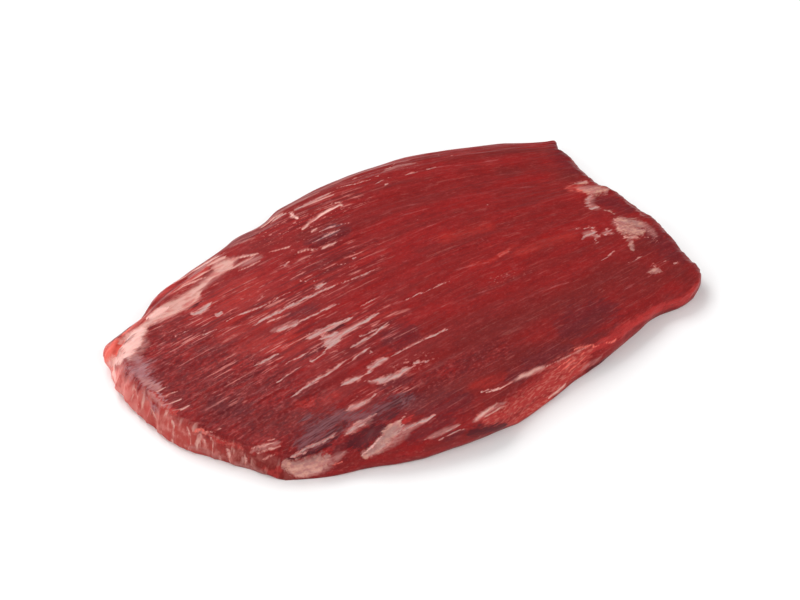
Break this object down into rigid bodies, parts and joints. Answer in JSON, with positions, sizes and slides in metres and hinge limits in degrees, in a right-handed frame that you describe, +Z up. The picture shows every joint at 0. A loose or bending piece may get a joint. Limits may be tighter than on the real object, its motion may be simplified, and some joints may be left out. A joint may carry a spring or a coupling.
{
  "type": "flank steak",
  "caption": "Whole raw flank steak: a flat, tapering slab of long-fibred beef with bowed long edges, lying on its flat underside.",
  "frame": {"origin": "middle of the steak's bounding box in plan, on the surface it lies on", "axes": "+X along the muscle fibres towards the square-cut end, +Y across the fibres towards the long edge with the folded fat, +Z up through the thickness"},
  "size_m": [0.3044, 0.2002, 0.0222],
  "materials": {
    "raw_beef": "moist raw beef: satin deep red, with pale streaks of fat and thin silvery skin"
  },
  "bodies": {
    "root": {"flank_steak": "raw_beef"}
  },
  "joints": []
}
